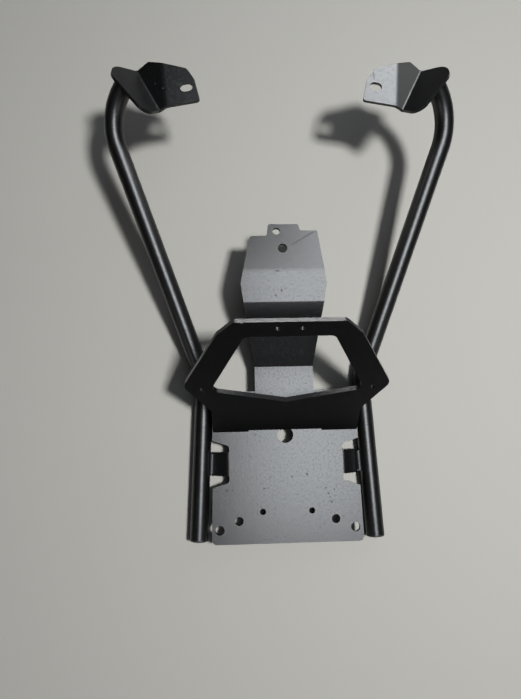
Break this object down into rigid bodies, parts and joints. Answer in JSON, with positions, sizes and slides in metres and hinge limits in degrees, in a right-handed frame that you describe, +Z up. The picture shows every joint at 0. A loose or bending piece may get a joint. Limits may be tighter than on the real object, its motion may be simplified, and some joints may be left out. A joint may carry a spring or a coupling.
{
  "type": "top case rack",
  "caption": "Motorbike luggage rack: flat plate and leaning hoop for a top case, on bent tubes with slotted front brackets and a folded strap that bolts to the tail.",
  "frame": {"origin": "middle of the rear plate's large centre hole, at the plate's upper face", "axes": "+Y to the front of the bike, +X to the right, +Z up, square to the rear plate"},
  "size_m": [0.342, 0.4609, 0.1114],
  "materials": {
    "tube": "satin black powder coat with a fine grain",
    "sheet": "satin black powder coat with a fine grain",
    "hoop": "satin black powder coat with a fine grain",
    "weld": "satin black powder coat with a fine grain",
    "tube_cap": "moulded black polyethylene"
  },
  "bodies": {
    "root": {"left_tube": "tube", "right_tube": "tube", "tube_caps": "tube_cap", "rear_plate": "sheet", "hoop": "hoop", "centre_strap": "sheet", "left_front_bracket": "sheet", "right_front_bracket": "sheet", "tab_welds": "weld", "bracket_welds": "weld", "hoop_welds": "weld", "strap_welds": "weld"}
  },
  "joints": []
}
